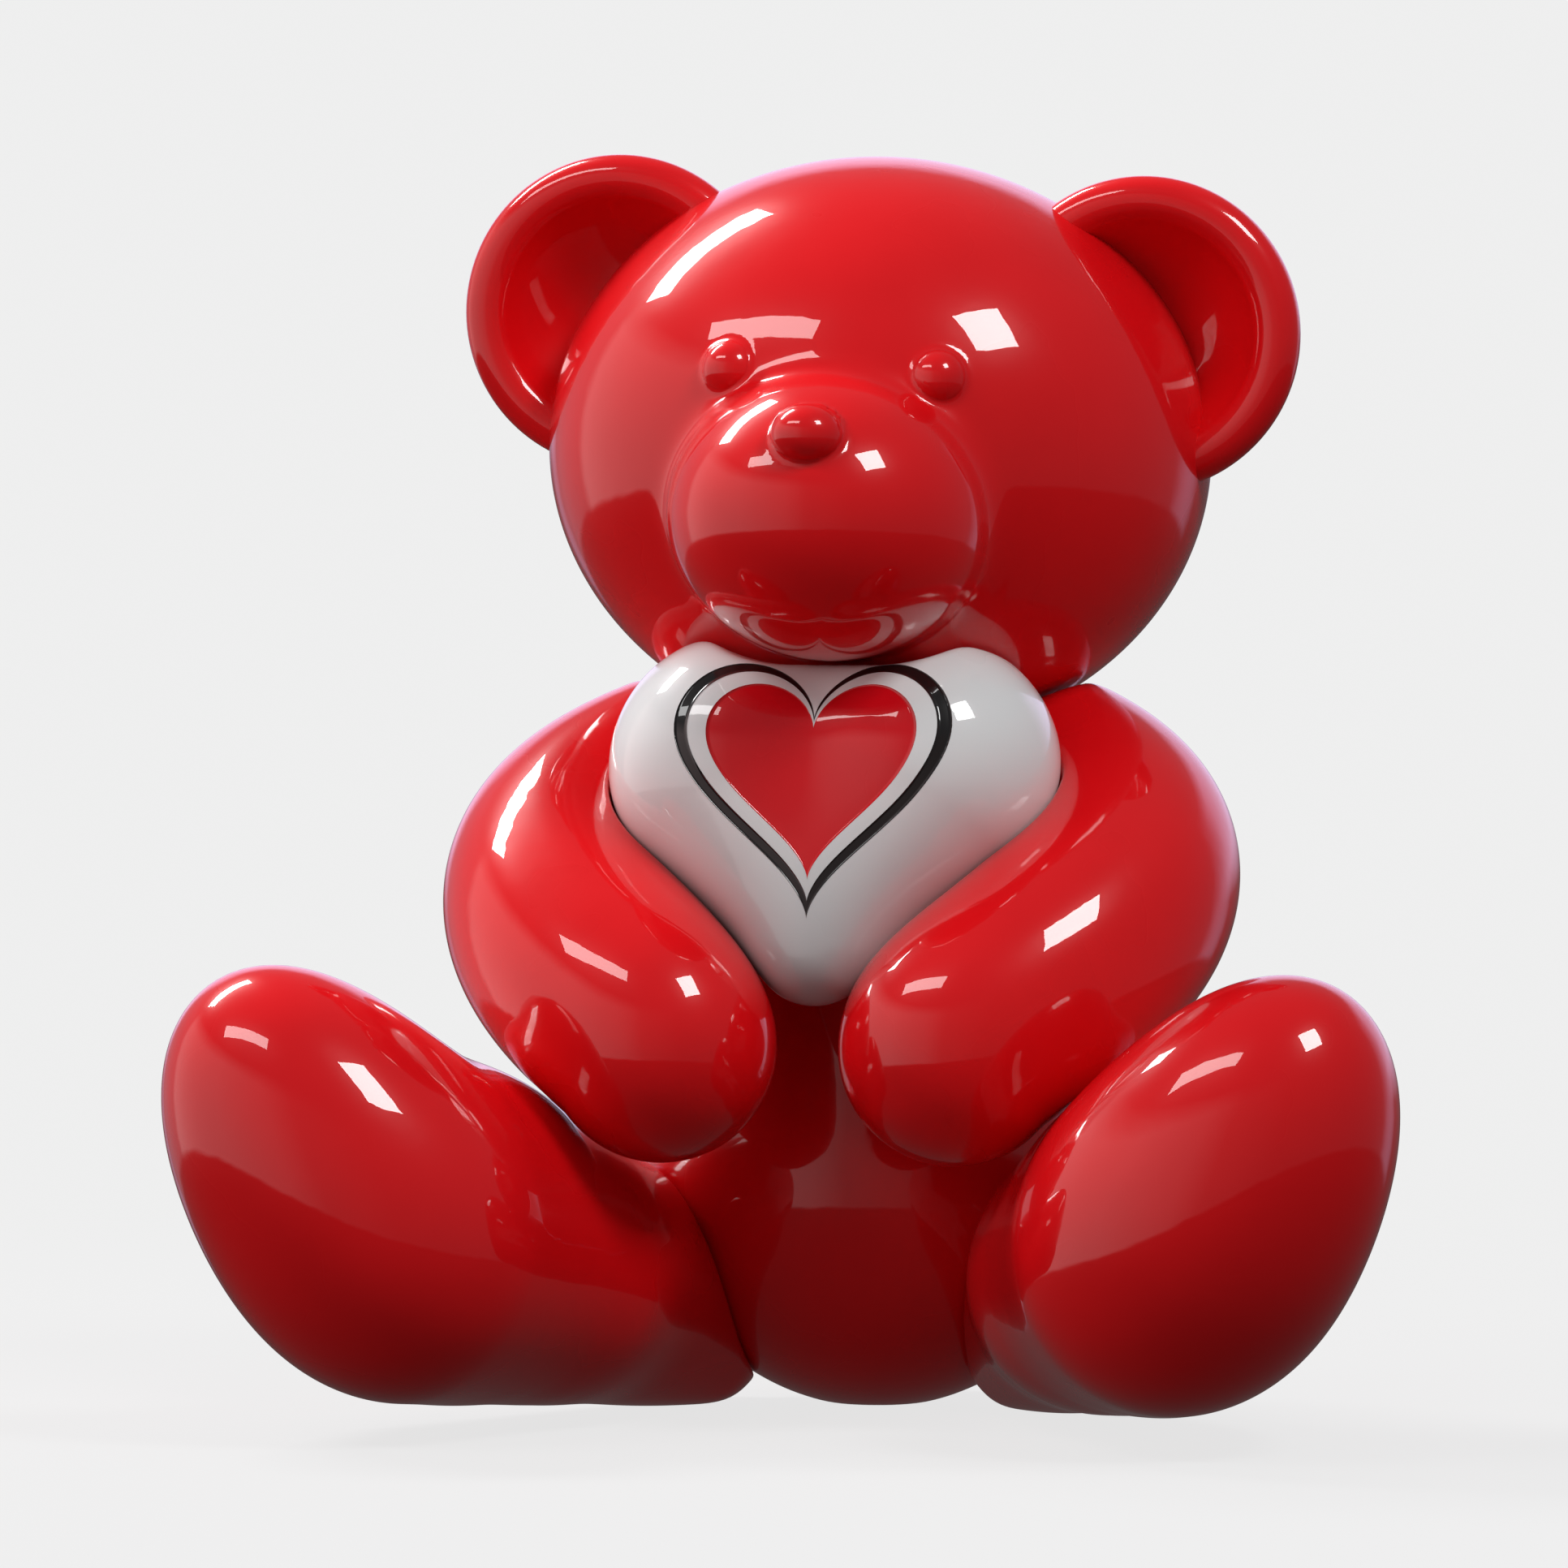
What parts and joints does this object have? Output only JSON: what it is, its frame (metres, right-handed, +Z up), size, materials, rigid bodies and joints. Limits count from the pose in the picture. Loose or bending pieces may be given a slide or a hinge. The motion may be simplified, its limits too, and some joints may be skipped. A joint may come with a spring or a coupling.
{
  "type": "vinyl art toy",
  "caption": "Glossy seated teddy bear figure in moulded vinyl that holds a heart against its chest; the head and the legs turn on inner pegs.",
  "frame": {"origin": "on the floor, at the middle of the bounding box seen from above", "axes": "+Z up, the face looks along -Y, +X is the bear's own left"},
  "size_m": [0.1902, 0.1457, 0.198],
  "materials": {
    "red_vinyl": "high gloss lacquer",
    "white_vinyl": "high gloss lacquer",
    "peg_plastic": "as moulded"
  },
  "bodies": {
    "body": {"torso_shell": "red_vinyl", "arm_left": "red_vinyl", "arm_right": "red_vinyl", "shoulder_peg_left": "peg_plastic", "shoulder_peg_right": "peg_plastic", "shoulder_washer_left": "peg_plastic", "shoulder_washer_right": "peg_plastic", "heart_front_shell": "white_vinyl", "heart_back_shell": "white_vinyl", "heart_peg": "peg_plastic"},
    "head": {"head_shell": "red_vinyl", "ear_left": "red_vinyl", "ear_right": "red_vinyl", "eye_left": "red_vinyl", "eye_right": "red_vinyl", "nose": "red_vinyl", "neck_peg": "peg_plastic", "neck_washer": "peg_plastic"},
    "leg_left": {"leg_left": "red_vinyl", "hip_peg_left": "peg_plastic", "hip_washer_left": "peg_plastic"},
    "leg_right": {"leg_right": "red_vinyl", "hip_peg_right": "peg_plastic", "hip_washer_right": "peg_plastic"}
  },
  "joints": [
    {"name": "head_turn", "type": "hinge", "parent": "body", "child": "head", "pos_m": [0, 0.03375, 0.112], "axis": [0, 0, 1], "range_deg": [-8, 8]},
    {"name": "leg_left_swing", "type": "hinge", "parent": "body", "child": "leg_left", "pos_m": [0, 0.03375, 0.0364], "axis": [0.8706, -0.2491, -0.4243], "range_deg": [0, 90]},
    {"name": "leg_right_swing", "type": "hinge", "parent": "body", "child": "leg_right", "pos_m": [0, 0.03375, 0.0364], "axis": [0.8706, 0.2491, 0.4243], "range_deg": [0, 90]}
  ]
}
